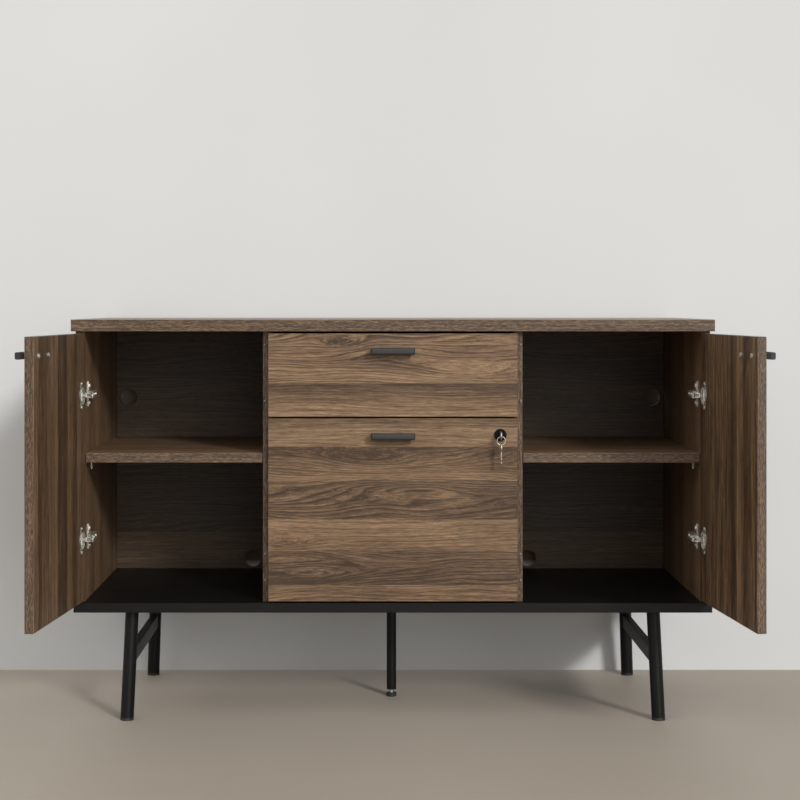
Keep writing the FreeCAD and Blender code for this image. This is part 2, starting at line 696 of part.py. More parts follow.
def hinge_plate(z):
    """Cross-shaped mounting plate with the rib that the arm clips over."""
    face = PANEL_THICK
    flat = face + HINGE_PLATE_THICK
    half = PLATE_BODY_HEIGHT / 2
    body = block(face, flat, HINGE_PLATE_FRONT, ARM_LENGTH, z - half, z + half)
    wings = block(face, flat, WING_FRONT, WING_FRONT + WING_WIDTH,
                  z - WING_HEIGHT / 2, z + WING_HEIGHT / 2)
    wings = wings.makeFillet(WING_WIDTH / 3, edges_along(wings, "X"))
    rib = block(face, ARM_TOP - CHEEK_THICK, HINGE_PLATE_FRONT + ARM_FOOT_GAP, ARM_LENGTH - ARM_FOOT_GAP,
                z - CHEEK_IN, z + CHEEK_IN)
    holes = [hole((flat, y, sz), (-1, 0, 0), HINGE_PLATE_THICK) for y, sz in plate_screw_points(z)]
    return joined(body, wings, rib).cut(holes)


def plate_screw_points(z):
    y = WING_FRONT + WING_WIDTH / 2
    return [(y, z - PLATE_SCREW_PITCH / 2), (y, z + PLATE_SCREW_PITCH / 2)]


def plate_drillings():
    """Pilot holes in the left side panel for the hinge plates' screws."""
    holes = [hole((PANEL_THICK, y, sz), (-1, 0, 0), WOOD_SCREW_LENGTH)
             for z in HINGE_Z for y, sz in plate_screw_points(z)]
    return [to_carcass(drilling) for drilling in holes]


def arm_screws(z):
    """Fixing and adjusting screws on top of the arm."""
    return [rod(ARM_SCREW_DIA, (ARM_TOP, y, z), (ARM_TOP + SCREW_HEAD_HEIGHT / 2, y, z))
            for y in (HINGE_PLATE_FRONT + ARM_SCREW_DIA, ARM_LENGTH - 2 * ARM_SCREW_DIA)]


def hinge_cup(z):
    """Drawn cup with a rim, a screw flange and the pin that the links turn on."""
    x, y = CUP_CENTER
    cup = rod(CUP_DIA, (x, y, z), (x, y - CUP_DEPTH, z))
    rim = rod(CUP_RIM_DIA, (x, y, z), (x, y + FLANGE_THICK, z))
    f0 = x + FLANGE_OFFSET - FLANGE_WIDTH / 2
    flange = block(f0, f0 + FLANGE_WIDTH, y, y + FLANGE_THICK,
                   z - FLANGE_HEIGHT / 2, z + FLANGE_HEIGHT / 2)
    flange = flange.makeFillet(FLANGE_WIDTH / 3, edges_along(flange, "Y"))
    hollow = rod(CUP_DIA - 2 * CUP_WALL, (x, y - CUP_DEPTH + CUP_WALL, z), (x, y + FLANGE_THICK, z))
    holes = [hole((sx, y + FLANGE_THICK, sz), (0, -1, 0), FLANGE_THICK)
             for sx, sz in flange_screw_points(z)]
    shell = joined(cup, rim, flange).cut([hollow] + holes)
    return joined(shell, cup_pin(z))


def cup_pin(z):
    """Pin across the cup, long enough to end inside its wall."""
    x = CUP_CENTER[0]
    reach = CUP_DIA / 2 - CUP_WALL / 2
    half = math.sqrt(reach ** 2 - (x - CUP_PIVOT[0]) ** 2)
    return vertical_rod(HINGE_PIN_DIA, CUP_PIVOT, z - half, z + half)


def flange_screw_points(z):
    x = CUP_CENTER[0] + FLANGE_OFFSET
    return [(x, z - FLANGE_SCREW_PITCH / 2), (x, z + FLANGE_SCREW_PITCH / 2)]


def hinges():
    plates, arms, pins, plate_screws = [], [], [], []
    for z in HINGE_Z:
        plates += both_sides(to_carcass(hinge_plate(z)))
        arms += both_sides(to_carcass(hinge_arm(z)))
        for piece in arm_pins(z) + arm_screws(z):
            pins += both_sides(to_carcass(piece))
        for y, sz in plate_screw_points(z):
            seat = (PANEL_THICK + HINGE_PLATE_THICK, y, sz)
            one = screw(seat, (-1, 0, 0), HINGE_PLATE_THICK + WOOD_SCREW_LENGTH)
            plate_screws += both_sides(to_carcass(one))
    save("hinge_plates", *plates)
    save("hinge_arms", *arms)
    save("hinge_arm_pins", *pins)
    save("hinge_plate_screws", *plate_screws)

    outer = [turned_shape(outer_link(z), ARM_PIVOT, OUTER_LINK_SHARE * OPEN_ANGLE) for z in HINGE_Z]
    save_pair("hinge_outer_links", *[to_carcass(link) for link in outer])
    inner = [turned_shape(link, INNER_PIVOT, INNER_LINK_SHARE * OPEN_ANGLE)
             for z in HINGE_Z for link in inner_link(z)]
    save_pair("hinge_inner_links", *[to_carcass(link) for link in inner])


def doors():
    inner_y = -BUMPER_GAP
    outer_y = inner_y - FRONT_THICK
    handle_x = DOOR_EDGE_INSET + DOOR_WIDTH - HANDLE_FROM_FREE_EDGE
    panel = board(DOOR_EDGE_INSET, DOOR_EDGE_INSET + DOOR_WIDTH, outer_y, inner_y, FRONTS_Z0, FRONTS_Z1)
    cuts = front_drillings(handle_x, TOP_HANDLE_Z, outer_y, FRONT_THICK)
    cups, screws = [], []
    for z in HINGE_Z:
        x, y = CUP_CENTER
        cuts.append(rod(CUP_DIA, (x, y, z), (x, y - CUP_DEPTH, z)))
        cups.append(hinge_cup(z))
        for sx, sz in flange_screw_points(z):
            cuts.append(hole((sx, inner_y, sz), (0, -1, 0), WOOD_SCREW_LENGTH))
            seat = (sx, inner_y + FLANGE_THICK, sz)
            screws.append(flange_screw(seat))
    save_pair("door", on_open_door(panel.cut(cuts)))
    save_pair("hinge_cups", *[on_open_door(cup) for cup in cups])
    save_pair("door_handle", on_open_door(handle(handle_x, TOP_HANDLE_Z, outer_y)))
    screws += handle_screws(handle_x, TOP_HANDLE_Z, outer_y, FRONT_THICK)
    save_pair("door_screws", *[on_open_door(one) for one in screws])


def flange_screw(seat):
    """Low-head wood screw that holds a hinge cup's flange."""
    head = rod(FLANGE_SCREW_HEAD_DIA, seat, (seat[0], seat[1] + FLANGE_THICK / 2, seat[2]))
    shank = rod(SCREW_DIA, seat, (seat[0], seat[1] - WOOD_SCREW_LENGTH, seat[2]))
    return joined(head, shank)


# ---- Drawers ----------------------------------------------------------------------------------
def channel(wall_in, wall_out, lip_end, height, lip):
    """C-section of a slide along Y: a web between two X planes, with lips towards lip_end."""
    y0 = CARCASS_FRONT_Y + SLIDE_SETBACK
    y1 = BACK_PANEL_Y - SLIDE_REAR_GAP
    x0, x1 = sorted((wall_in, wall_out))
    web = block(x0, x1, y0, y1, -height / 2, height / 2)
    l0, l1 = sorted((wall_in, lip_end))
    upper = block(l0, l1, y0, y1, height / 2 - lip, height / 2)
    lower = block(l0, l1, y0, y1, -height / 2, -height / 2 + lip)
    return joined(web, upper, lower)


def slide_members():
    """Cabinet, middle and drawer members of the left slide, centred on z = 0."""
    cabinet_x = -DIVIDER_IN
    drawer_x = -BOX_HALF
    metal = SLIDE_METAL
    cabinet = channel(cabinet_x, cabinet_x + metal, drawer_x - 2 * metal, SLIDE_HEIGHT, metal)
    middle_height = SLIDE_HEIGHT - 2 * (metal + SLIDE_GAP)
    middle_x = cabinet_x + metal + SLIDE_GAP
    middle = channel(middle_x, middle_x + metal, drawer_x - 2 * metal, middle_height, SLIDE_RACE)
    drawer_height = middle_height - 2 * (SLIDE_RACE + SLIDE_GAP)
    drawer = channel(drawer_x, drawer_x - metal, middle_x + metal + SLIDE_GAP, drawer_height, metal)
    return cabinet, middle, drawer


def raised(shape, z):
    moved = shape.copy()
    moved.translate(V(0, 0, z))
    return moved


def drawer_box(z0, height):
    """Two sides, a back and a sub-front, all grooved for the bottom."""
    y0 = FRONT_BACK_Y
    y1 = BOX_BACK_Y
    inner = BOX_HALF - BOX_WALL
    top = z0 + height
    groove = box_bottom(z0)
    side = board(-BOX_HALF, -inner, y0, y1, z0, top)
    sub_front = board(-inner, inner, y0, y0 + BOX_WALL, z0, top)
    back = board(-inner, inner, y1 - BOX_WALL, y1, z0, top)
    return [piece.cut(groove) for piece in both_sides(side) + [sub_front, back]]


def box_bottom(z0):
    """Bottom panel, held in grooves on all four sides."""
    reach = BOX_HALF - BOX_WALL + BOTTOM_GROOVE
    low = z0 + BOTTOM_RISE
    return block(-reach, reach, FRONT_BACK_Y + BOX_WALL - BOTTOM_GROOVE,
                 BOX_BACK_Y - BOX_WALL + BOTTOM_GROOVE, low, low + BOTTOM_THICK)


def drawer(name, front_z0, front_z1, box_z, box_height, handle_z, screw_depth, front_cuts=()):
    """One drawer: front, box, bottom, handle, screws and its slides' moving members."""
    half = DRAWER_FRONT_HALF
    front = board(-half, half, FRONT_Y, FRONT_BACK_Y, front_z0, front_z1)
    cuts = front_drillings(0, handle_z, FRONT_Y, FRONT_THICK) + list(front_cuts)
    save(name + "_drawer_front", front.cut(cuts))
    box = drawer_box(box_z, box_height)
    if screw_depth > FRONT_THICK:
        drillings = front_drillings(0, handle_z, FRONT_Y, screw_depth)
        box = [piece.cut(drillings) for piece in box]
    save(name + "_drawer_box", *box)
    save(name + "_drawer_bottom", box_bottom(box_z))
    save(name + "_drawer_handle", handle(0, handle_z, FRONT_Y))
    save(name + "_drawer_screws", *handle_screws(0, handle_z, FRONT_Y, screw_depth))
    cabinet, middle, moving = slide_members()
    z = box_z + box_height / 2
    save(name + "_slide_middles", *both_sides(raised(middle, z)))
    save(name + "_slide_drawer_members", *both_sides(raised(moving, z)))
    return both_sides(raised(cabinet, z))


def drawers():
    fixed = drawer("top", TOP_FRONT_Z0, FRONTS_Z1, TOP_BOX_Z, TOP_BOX_HEIGHT, TOP_HANDLE_Z,
                   FRONT_THICK + BOX_WALL)
    fixed += drawer("file", FRONTS_Z0, FILE_FRONT_Z1, FILE_BOX_Z, FILE_BOX_HEIGHT, FILE_HANDLE_Z,
                    FRONT_THICK, [lock_bore()])
    save("slide_cabinet_members", *fixed)

    top = FILE_BOX_Z + FILE_BOX_HEIGHT
    inner = BOX_HALF - BOX_WALL
    first = FRONT_BACK_Y + BOX_WALL + RAIL_FRONT_GAP
    rails = []
    for y in (first, first + RAIL_SPACING):
        rails.append(block(-inner, inner, y, y + RAIL_THICK, top - RAIL_HEIGHT, top))
    save("file_rails", *rails)


# ---- Lock and keys ----------------------------------------------------------------------------
def lock_rod(dia, y0, y1):
    return rod(dia, (LOCK_X, y0, LOCK_Z), (LOCK_X, y1, LOCK_Z))


def lock_bore():
    return lock_rod(LOCK_BARREL_DIA, FRONT_Y, FRONT_BACK_Y)


LOCK_REAR_Y = FRONT_BACK_Y + LOCK_TAIL
PLUG_FACE_Y = FRONT_Y - LOCK_BEZEL_THICK - LOCK_PLUG_PROUD
BOW_Y = PLUG_FACE_Y - KEY_NECK - KEY_BOW_DIA / 2
RING_TOP_Y = BOW_Y - KEY_BOW_DIA / 2 + KEY_HOLE_MARGIN
RING_RADIUS = (RING_DIA - RING_WIRE_DIA) / 2
RING_DROP = (KEY_HOLE_DIA - RING_WIRE_DIA) / 2 - RING_SEAT_GAP
RING_TOP_Z = LOCK_Z - RING_DROP
RING_LOW_Z = RING_TOP_Z - 2 * RING_RADIUS


def key_plate(points):
    """Flat key profile in the upright plane through the lock's axis."""
    loop = [V(LOCK_X - KEY_THICK / 2, y, z) for y, z in points]
    return Part.Face(Part.makePolygon(loop + loop[:1])).extrude(V(KEY_THICK, 0, 0))


def key_disc(dia, y, z):
    return rod(dia, (LOCK_X - KEY_THICK / 2, y, z), (LOCK_X + KEY_THICK / 2, y, z))


def blade(start, length):
    """Toothed blade along +Y from start, its cuts on the lower edge."""
    half = KEY_BLADE_HEIGHT / 2
    tip = start + length
    outline = [(start, LOCK_Z + half), (tip - half, LOCK_Z + half), (tip, LOCK_Z),
               (tip - half, LOCK_Z - half)]
    cuts = int((length - KEY_BLADE_HEIGHT) / CUT_PITCH)
    for index in range(cuts):
        depth = CUT_DEPTHS[index % len(CUT_DEPTHS)]
        for ahead, down in CUT_PROFILE:
            outline.append((tip - half - CUT_PITCH * (index + ahead), LOCK_Z - half + depth * down))
    outline.append((start, LOCK_Z - half))
    return key_plate(outline)


def lock():
    outer = joined(lock_rod(LOCK_BARREL_DIA, FRONT_Y, LOCK_REAR_Y),
                   lock_rod(LOCK_BEZEL_DIA, FRONT_Y - LOCK_BEZEL_THICK, FRONT_Y))
    bore = lock_rod(LOCK_PLUG_DIA + 2 * LOCK_TURN_GAP, FRONT_Y - LOCK_BEZEL_THICK, LOCK_REAR_Y)
    save("lock_housing", outer.cut(bore))

    plug = lock_rod(LOCK_PLUG_DIA, PLUG_FACE_Y, LOCK_REAR_Y + LOCK_TURN_GAP)
    keyway = block(LOCK_X - KEYWAY_WIDTH / 2, LOCK_X + KEYWAY_WIDTH / 2, PLUG_FACE_Y,
                   PLUG_FACE_Y + KEYWAY_DEPTH, LOCK_Z - KEYWAY_HEIGHT / 2, LOCK_Z + KEYWAY_HEIGHT / 2)
    save("lock_plug", plug.cut(keyway))

    cam_y = LOCK_REAR_Y + LOCK_TURN_GAP
    half = CAM_WIDTH / 2
    hub = lock_rod(CAM_WIDTH, cam_y, cam_y + CAM_THICK)
    tongue = block(LOCK_X - half, LOCK_X + half, cam_y, cam_y + CAM_THICK, LOCK_Z - CAM_LENGTH, LOCK_Z)
    save("lock_cam", joined(hub, tongue))


def keys():
    hole_cut = key_disc(KEY_HOLE_DIA, RING_TOP_Y, LOCK_Z)
    bow = key_disc(KEY_BOW_DIA, BOW_Y, LOCK_Z)
    neck_half = KEY_BLADE_HEIGHT / 2
    face = PLUG_FACE_Y - LOCK_TURN_GAP
    neck = key_plate([(BOW_Y, LOCK_Z - neck_half), (face, LOCK_Z - neck_half),
                      (face, LOCK_Z + neck_half), (BOW_Y, LOCK_Z + neck_half)])
    save("key", joined(bow, neck, blade(face, KEY_BLADE_LENGTH)).cut(hole_cut))

    # the ring hangs on the lower edge of the key's hole
    center = V(LOCK_X, RING_TOP_Y, RING_TOP_Z - RING_RADIUS)
    save("key_ring", Part.makeTorus(RING_RADIUS, RING_WIRE_DIA / 2, center, V(0, 1, 0)))

    # the spare is drawn pointing along +Y on the lock's axis, and then hung from the ring
    start = RING_TOP_Y + KEY_BOW_DIA - KEY_HOLE_MARGIN
    spare_blade = SPARE_KEY_LENGTH - KEY_BOW_DIA
    spare_bow = key_disc(KEY_BOW_DIA, start - KEY_BOW_DIA / 2, LOCK_Z)
    shank = key_plate([(start - KEY_BOW_DIA / 2, LOCK_Z - neck_half), (start, LOCK_Z - neck_half),
                       (start, LOCK_Z + neck_half), (start - KEY_BOW_DIA / 2, LOCK_Z + neck_half)])
    spare = joined(spare_bow, shank, blade(start, spare_blade)).cut(hole_cut)
    spare.rotate(V(LOCK_X, RING_TOP_Y, LOCK_Z), V(1, 0, 0), -90)
    save("spare_key", raised(spare, RING_LOW_Z - RING_DROP - LOCK_Z))


def build():
    os.makedirs("parts", exist_ok=True)
    carcass()
    shelves()
    legs()
    stretchers()
    center_leg()
    hinges()
    doors()
    drawers()
    lock()
    keys()
    for name, shape in sorted(SAVED.items()):
        box = shape.BoundBox
        print(f"{name:28s} {len(shape.Solids):2d} solids  x {box.XMin:8.2f} {box.XMax:8.2f}"
              f"  y {box.YMin:8.2f} {box.YMax:8.2f}  z {box.ZMin:7.2f} {box.ZMax:7.2f}"
              f"  valid {shape.isValid()}")


build()
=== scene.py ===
"""Looks of the office credenza: materials, small details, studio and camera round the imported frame."""
import math

import bpy
import bmesh
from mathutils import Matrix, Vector


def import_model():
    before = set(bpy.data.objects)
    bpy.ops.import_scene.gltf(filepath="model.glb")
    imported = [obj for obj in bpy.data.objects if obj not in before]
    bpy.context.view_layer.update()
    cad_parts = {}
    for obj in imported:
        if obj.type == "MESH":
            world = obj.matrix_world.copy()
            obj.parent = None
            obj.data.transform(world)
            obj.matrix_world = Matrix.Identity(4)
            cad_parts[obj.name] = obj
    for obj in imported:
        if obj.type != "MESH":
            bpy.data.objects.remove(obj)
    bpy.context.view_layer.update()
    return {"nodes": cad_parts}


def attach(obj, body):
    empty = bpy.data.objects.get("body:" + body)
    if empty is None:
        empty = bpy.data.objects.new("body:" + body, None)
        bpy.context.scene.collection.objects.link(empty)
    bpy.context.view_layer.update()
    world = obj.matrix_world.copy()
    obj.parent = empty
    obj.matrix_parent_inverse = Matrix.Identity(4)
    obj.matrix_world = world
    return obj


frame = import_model()
SCENE = bpy.context.scene

DOOR_LEAN = math.radians(5.2)  # how far past square the doors stand open
X_AXIS = (1.0, 0.0, 0.0)
Y_AXIS = (0.0, 1.0, 0.0)
Z_AXIS = (0.0, 0.0, 1.0)


def tone(red, green, blue):
    """Linear colour of a display colour from 0 to 255."""
    out = []
    for value in (red, green, blue):
        c = value / 255
        out.append(c / 12.92 if c <= 0.04045 else ((c + 0.055) / 1.055) ** 2.4)
    return tuple(out) + (1.0,)


class Graph:
    """Node tree of one material, whose helpers take numbers or sockets and return sockets."""

    def __init__(self, name):
        self.material = bpy.data.materials.new(name)
        self.material.use_nodes = True
        self.tree = self.material.node_tree
        self.tree.nodes.clear()
        self.output = self.tree.nodes.new("ShaderNodeOutputMaterial")
        self.texture = self.tree.nodes.new("ShaderNodeTexCoord")

    def put(self, socket, value):
        if isinstance(value, bpy.types.NodeSocket):
            self.tree.links.new(value, socket)
        elif value is not None:
            socket.default_value = value

    def math(self, operation, a, b=None):
        node = self.tree.nodes.new("ShaderNodeMath")
        node.operation = operation
        for socket, value in zip(node.inputs, (a, b)):
            self.put(socket, value)
        return node.outputs[0]

    def add(self, a, b):
        return self.math("ADD", a, b)

    def sub(self, a, b):
        return self.math("SUBTRACT", a, b)

    def mul(self, a, b):
        return self.math("MULTIPLY", a, b)

    def about(self, noise, weight):
        """Noise set about zero and weighted."""
        return self.mul(self.sub(noise, 0.5), weight)

    def dot(self, vector, direction):
        node = self.tree.nodes.new("ShaderNodeVectorMath")
        node.operation = "DOT_PRODUCT"
        self.put(node.inputs[0], vector)
        node.inputs[1].default_value = direction
        return node.outputs["Value"]

    def vector(self, x, y, z):
        node = self.tree.nodes.new("ShaderNodeCombineXYZ")
        for socket, value in zip(node.inputs, (x, y, z)):
            self.put(socket, value)
        return node.outputs[0]

    def noise(self, vector, scale=1.0, detail=2.0, rough=0.5):
        node = self.tree.nodes.new("ShaderNodeTexNoise")
        self.put(node.inputs["Vector"], vector)
        node.inputs["Scale"].default_value = scale
        node.inputs["Detail"].default_value = detail
        node.inputs["Roughness"].default_value = rough
        return node.outputs["Fac"]

    def random(self, value):
        node = self.tree.nodes.new("ShaderNodeTexWhiteNoise")
        node.noise_dimensions = "1D"
        self.put(node.inputs["W"], value)
        return node.outputs["Value"]

    def span(self, value, low, high, to_low=0.0, to_high=1.0, smooth=False):
        node = self.tree.nodes.new("ShaderNodeMapRange")
        node.interpolation_type = "SMOOTHSTEP" if smooth else "LINEAR"
        for key, item in (("Value", value), ("From Min", low), ("From Max", high),
                          ("To Min", to_low), ("To Max", to_high)):
            self.put(node.inputs[key], item)
        return node.outputs[0]

    def ramp(self, value, stops, constant=False):
        node = self.tree.nodes.new("ShaderNodeValToRGB")
        node.color_ramp.interpolation = "CONSTANT" if constant else "LINEAR"
        elements = node.color_ramp.elements
        while len(elements) < len(stops):
            elements.new(0.5)
        for element, (place, colour) in zip(elements, stops):
            element.position = place
            element.color = colour
        self.put(node.inputs[0], value)
        return node.outputs[0]

    def blend(self, share, a, b, mode="MIX"):
        node = self.tree.nodes.new("ShaderNodeMix")
        node.data_type = "RGBA"
        node.blend_type = mode
        self.put(node.inputs[0], share)
        self.put(node.inputs[6], a)
        self.put(node.inputs[7], b)
        return node.outputs[2]

    def choose(self, share, a, b):
        node = self.tree.nodes.new("ShaderNodeMix")
        node.data_type = "FLOAT"
        self.put(node.inputs[0], share)
        self.put(node.inputs[2], a)
        self.put(node.inputs[3], b)
        return node.outputs[0]

    def bump(self, height, distance, strength=1.0):
        node = self.tree.nodes.new("ShaderNodeBump")
        node.inputs["Strength"].default_value = strength
        node.inputs["Distance"].default_value = distance
        self.put(node.inputs["Height"], height)
        return node.outputs[0]

    def edge_wear(self, radius):
        """0 on flats, up to 1 on outer edges: the bevelled normal against the plain one."""
        bevel = self.tree.nodes.new("ShaderNodeBevel")
        bevel.samples = 4
        bevel.inputs["Radius"].default_value = radius
        geometry = self.tree.nodes.new("ShaderNodeNewGeometry")
        node = self.tree.nodes.new("ShaderNodeVectorMath")
        node.operation = "DOT_PRODUCT"
        self.put(node.inputs[0], bevel.outputs[0])
        self.put(node.inputs[1], geometry.outputs["Normal"])
        return self.span(node.outputs["Value"], 0.995, 0.8)

    def surface(self, colour, roughness, normal, metallic=0.0, specular=0.5, transmission=0.0):
        node = self.tree.nodes.new("ShaderNodeBsdfPrincipled")
        self.put(node.inputs["Base Color"], colour)
        self.put(node.inputs["Roughness"], roughness)
        self.put(node.inputs["Normal"], normal)
        node.inputs["Metallic"].default_value = metallic
        node.inputs["Specular IOR Level"].default_value = specular
        node.inputs["Transmission Weight"].default_value = transmission
        self.tree.links.new(node.outputs[0], self.output.inputs[0])
        return self.material


# ---- Walnut laminate -------------------------------------------------------------------------
WALNUT_TONES = [(0.0, tone(62, 45, 32)), (0.22, tone(88, 68, 49)), (0.45, tone(112, 88, 66)),
                (0.68, tone(136, 109, 82)), (1.0, tone(168, 139, 107))]
BAND_TONES = [(0.12, tone(58, 45, 35)), (0.5, tone(92, 75, 60)), (0.88, tone(126, 105, 86))]
STAVE_WIDTH = 0.0633
RING_PITCH = 1 / 145  # metres across the grain from one growth ring to the next
# Layers of the grain: scale along it, scale across its lines, scale across the board, octaves and
# roughness. The third scale keeps a layer from smearing out where the lines lie flat.
COARSE = (5.0, 150.0, 50.0, 2.0, 0.6)
STREAK = (13.0, 420.0, 150.0, 3.0, 0.65)
THREAD = (50.0, 1500.0, 500.0, 2.0, 0.6)
PORE = (60.0, 1300.0, 400.0, 1.0, 0.5)
# scale along and across the grain of the short dashes, on a board's faces and on its banding
DASH_ALONG = (40.0, 110.0)
DASH_ACROSS = (640.0, 800.0)


def walnut(name, along, across, normal, shift=0.0, bands=None, eyes=(), seed=0.0, inside_shade=1.0,
           cool=0.0, figure=0.5, rough=0.4, grain=1.0):
    """Staved walnut laminate with edge banding.

    along, across and normal are the board's directions. Staves are even and moved by shift, or bands
    gives each one's lower edge, tone at that edge, tone at its upper edge, seed and figure. eyes are
    the figure's ovals: place along and across, half length, half width, rise and darkening.
    inside_shade is painted shade: how light the face against normal is painted, standing in for the
    shade inside the cabinet. cool is how grey the board leans, figure how lively even staves are and
    grain how strong the streaks are.
    """
    g = Graph(name)
    place = g.texture.outputs["Object"]
    facing = g.texture.outputs["Normal"]
    s = g.dot(place, along)
    t = g.dot(place, across)
    w = g.dot(place, normal)
    # faces across the board's thickness carry banding whose grain follows the edge
    edge = g.math("LESS_THAN", g.math("ABSOLUTE", g.dot(facing, normal)), 0.7)
    end = g.math("GREATER_THAN", g.math("ABSOLUTE", g.dot(facing, along)), 0.7)
    run = g.choose(end, s, t)
    rise = g.choose(edge, t, w)

    if bands:
        low = bands[0][0]
        high = bands[-1][0] + 0.1
        starts = [(band[0] - low) / (high - low) for band in bands]
        ends = [start - 0.001 for start in starts[1:]] + [1.0]
        tones = []
        salts = []
        for start, end, (_, shade_low, shade_high, salt, curl) in zip(starts, ends, bands):
            tones += [(start, (shade_low,) * 3 + (1,)), (end, (shade_high,) * 3 + (1,))]
            salts.append((start, (salt, curl, 0, 1)))
        height = g.span(rise, low, high)
        stave_tone = g.ramp(height, tones)
        parts = g.tree.nodes.new("ShaderNodeSeparateColor")
        g.put(parts.inputs[0], g.ramp(height, salts, constant=True))
        salt = g.mul(parts.outputs[0], 10.0)
        curl = parts.outputs[1]
    else:
        index = g.math("FLOOR", g.math("DIVIDE", g.add(rise, shift), STAVE_WIDTH))
        salt = g.mul(g.random(g.add(index, seed + 0.37)), 10.0)
        stave_tone = g.span(g.random(g.add(index, seed + 11.83)), 0.0, 1.0, to_low=0.3, to_high=0.66)
        curl = g.mul(g.math("POWER", g.random(g.add(index, seed + 5.19)), 1.6), figure)
    salt = g.choose(edge, salt, seed * 3.1 + 4.0)
    stave_tone = g.choose(edge, stave_tone, 0.5)
    curl = g.choose(edge, curl, 0.1)

    # the grain's lines are the contours of the height across it plus a slow wander and the ovals
    slow = g.noise(g.vector(g.mul(run, 2.6), g.mul(rise, 13.0), salt), 1.0, 1.0, 0.4)
    wide = g.noise(g.vector(g.mul(run, 7.0), g.mul(rise, 30.0), g.add(salt, 3.3)), 1.0, 1.0, 0.5)
    wander = g.add(g.about(slow, g.add(0.012, g.mul(curl, 0.13))),
                   g.about(wide, g.add(0.003, g.mul(curl, 0.018))))
    line = g.add(rise, wander)
    knot = 0.0
    slope = 1.0
    for x, y, half_x, half_y, height, dark in eyes:
        ex = g.math("DIVIDE", g.sub(run, x), half_x)
        ey = g.math("DIVIDE", g.sub(rise, y), half_y)
        far = g.add(g.mul(ex, ex), g.mul(ey, ey))
        peak = g.math("EXPONENT", g.mul(far, -1.0))
        line = g.add(line, g.mul(peak, height))
        slope = g.add(slope, g.mul(g.mul(peak, ey), -2.0 * height / half_y))
        if dark:
            knot = g.add(knot, g.mul(g.math("EXPONENT", g.mul(far, -1.6)), dark))

    # growth rings of uneven width darken slowly and end sharply, and pale where they lie flat
    uneven = g.noise(g.vector(0.0, g.mul(line, 60.0), salt))
    ring = g.math("FRACT", g.add(g.mul(line, 1 / RING_PITCH), g.mul(uneven, 2.4)))
    ring = g.mul(g.math("POWER", ring, 3.0), g.span(ring, 0.82, 1.0, 1.0, 0.0, smooth=True))
    if eyes:
        ring = g.mul(ring, g.span(g.math("ABSOLUTE", slope), 0.1, 0.7))

    def layer(kind, widen=1.0):
        run_scale, line_scale, rise_scale, octaves, roughness = kind
        vector = g.vector(g.mul(run, run_scale), g.mul(line, line_scale / widen),
                          g.add(salt, g.mul(rise, rise_scale)))
        return g.noise(vector, 1.0, octaves, roughness)

    # fine grain in four sizes, and short dark pores
    coarse = layer(COARSE, widen=grain ** 0.4)
    streak = layer(STREAK)
    thread = layer(THREAD)
    pore = g.span(layer(PORE), 0.6, 0.76, smooth=True)
    dash = g.noise(g.vector(g.mul(run, g.choose(edge, *DASH_ALONG)),
                            g.mul(g.add(rise, g.mul(wander, 0.4)), g.choose(edge, *DASH_ACROSS)),
                            salt), 1.0, 2.0, 0.6)
    cloud = g.noise(g.vector(g.mul(run, 3.4), g.mul(line, 24.0), g.add(salt, 6.1)), 1.0, 3.0, 0.55)

    value = g.add(stave_tone, g.about(cloud, g.add(0.3, g.mul(curl, 0.7))))
    value = g.add(value, g.mul(ring, g.add(-0.2, g.mul(curl, -0.7))))
    value = g.add(value, g.about(coarse, g.choose(edge, 0.6 * grain, 0.3)))
    fine = g.add(g.about(streak, g.choose(edge, 0.8 * grain, 0.6)), g.about(thread, 0.8))
    fine = g.add(fine, g.about(dash, g.choose(edge, 0.85, 2.2)))
    value = g.add(g.add(value, fine), g.mul(pore, -0.24))
    if eyes:
        mottle = g.noise(g.vector(g.mul(run, 80.0), g.mul(rise, 480.0), 7.7), 1.0, 3.0, 0.7)
        value = g.sub(value, g.mul(knot, g.span(mottle, 0.35, 0.62, 0.1, 2.2)))
    colour = g.ramp(value, WALNUT_TONES)
    # some staves lean grey
    grey = g.span(g.random(g.add(salt, 1.7)), 0.2, 1.0, cool, 0.5 + cool)
    colour = g.blend(grey, colour, g.blend(1.0, colour, tone(236, 239, 246), "MULTIPLY"))
    colour = g.blend(edge, colour, g.ramp(value, BAND_TONES))
    # painted shade: the face against normal is darkened to stand in for the shade inside the cabinet
    if inside_shade != 1.0:
        against = g.math("LESS_THAN", g.dot(facing, normal), -0.7)
        colour = g.blend(against, colour, g.blend(1.0, colour, (inside_shade, inside_shade, inside_shade, 1), "MULTIPLY"))

    roughness = g.add(g.mul(streak, 0.16), g.add(rough, g.mul(pore, 0.12)))
    relief = g.sub(g.mul(streak, 0.35), g.add(pore, g.mul(thread, 0.3)))
    return g.surface(colour, roughness, g.bump(relief, 0.00012, 0.6), specular=0.32)


# ---- Other finishes --------------------------------------------------------------------------
def black_board(name):
    """Black laminate with a fine grain embossing and rubbed edges."""
    g = Graph(name)
    place = g.texture.outputs["Object"]
    x = g.dot(place, X_AXIS)
    y = g.dot(place, Y_AXIS)
    z = g.dot(place, Z_AXIS)
    grain = g.noise(g.vector(g.mul(x, 8.0), g.mul(y, 700.0), g.mul(z, 700.0)), 1.0, 3.0, 0.6)
    cloud = g.noise(place, 9.0, 3.0, 0.6)
    colour = g.ramp(grain, [(0.3, tone(10, 10, 10)), (0.7, tone(16, 16, 15))])
    colour = g.blend(g.mul(g.edge_wear(0.0012), 0.2), colour, tone(46, 45, 43))
    rough = g.add(0.3, g.add(g.mul(grain, 0.16), g.mul(cloud, 0.1)))
    return g.surface(colour, rough, g.bump(grain, 0.00008, 0.5), specular=0.2)


